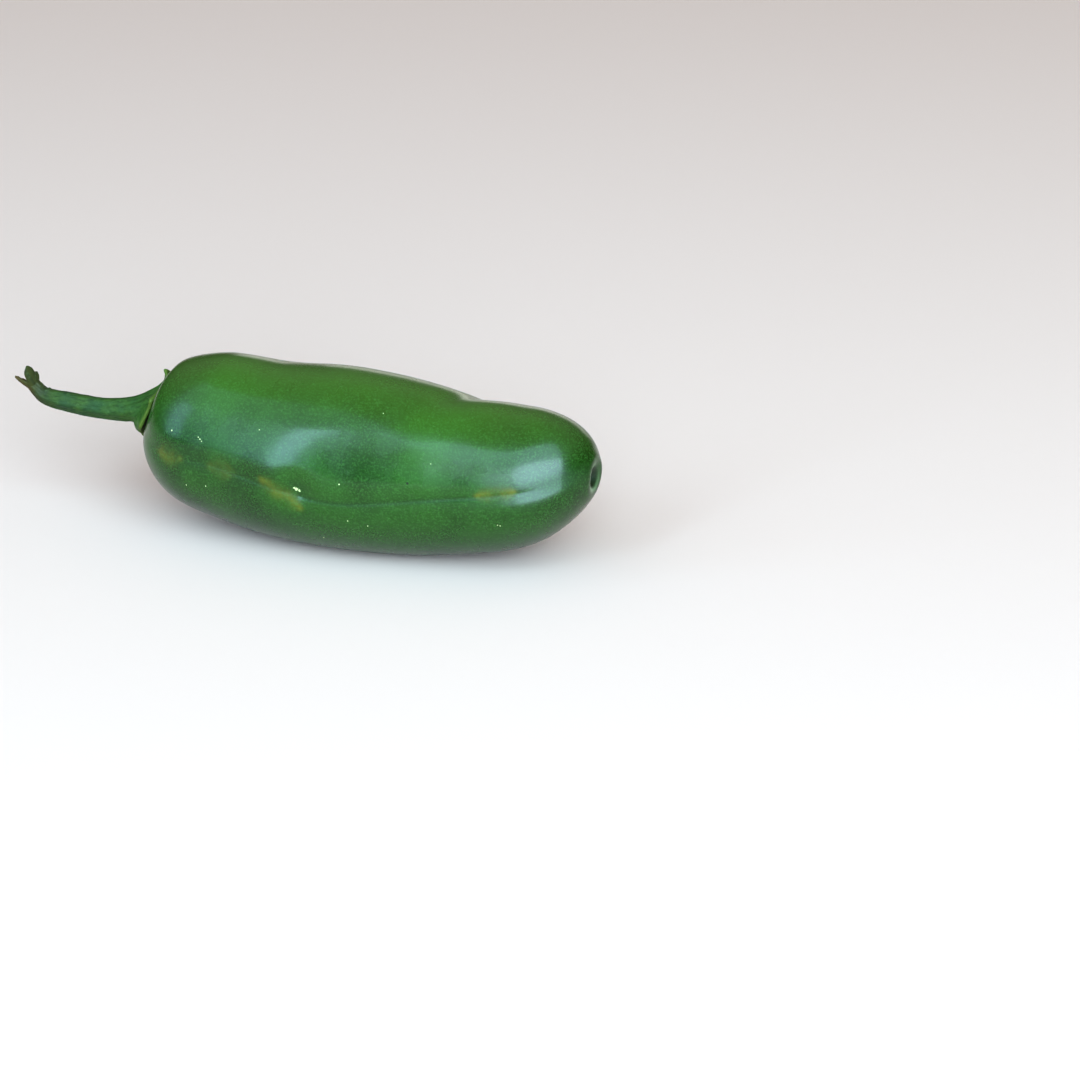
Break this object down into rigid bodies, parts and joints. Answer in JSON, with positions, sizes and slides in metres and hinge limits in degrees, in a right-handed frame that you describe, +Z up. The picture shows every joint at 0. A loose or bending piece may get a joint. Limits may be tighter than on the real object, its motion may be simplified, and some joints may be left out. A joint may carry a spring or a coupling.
{
  "type": "chilli pepper",
  "caption": "Large green chilli pepper as picked, plump and slightly bent, lying on its belly, with its toothed calyx and curved torn stalk.",
  "frame": {"origin": "middle of the bounding box at its bottom, on the surface that the pepper lies on", "axes": "+X along the pepper from its stalk to its blossom end, +Z up from the surface, +Y to the pepper's far side in the picture"},
  "size_m": [0.1132, 0.0332, 0.0332],
  "materials": {
    "skin": "gloss",
    "stalk": "satin"
  },
  "bodies": {
    "root": {"pod": "skin", "stem_with_calyx": "stalk"}
  },
  "joints": []
}
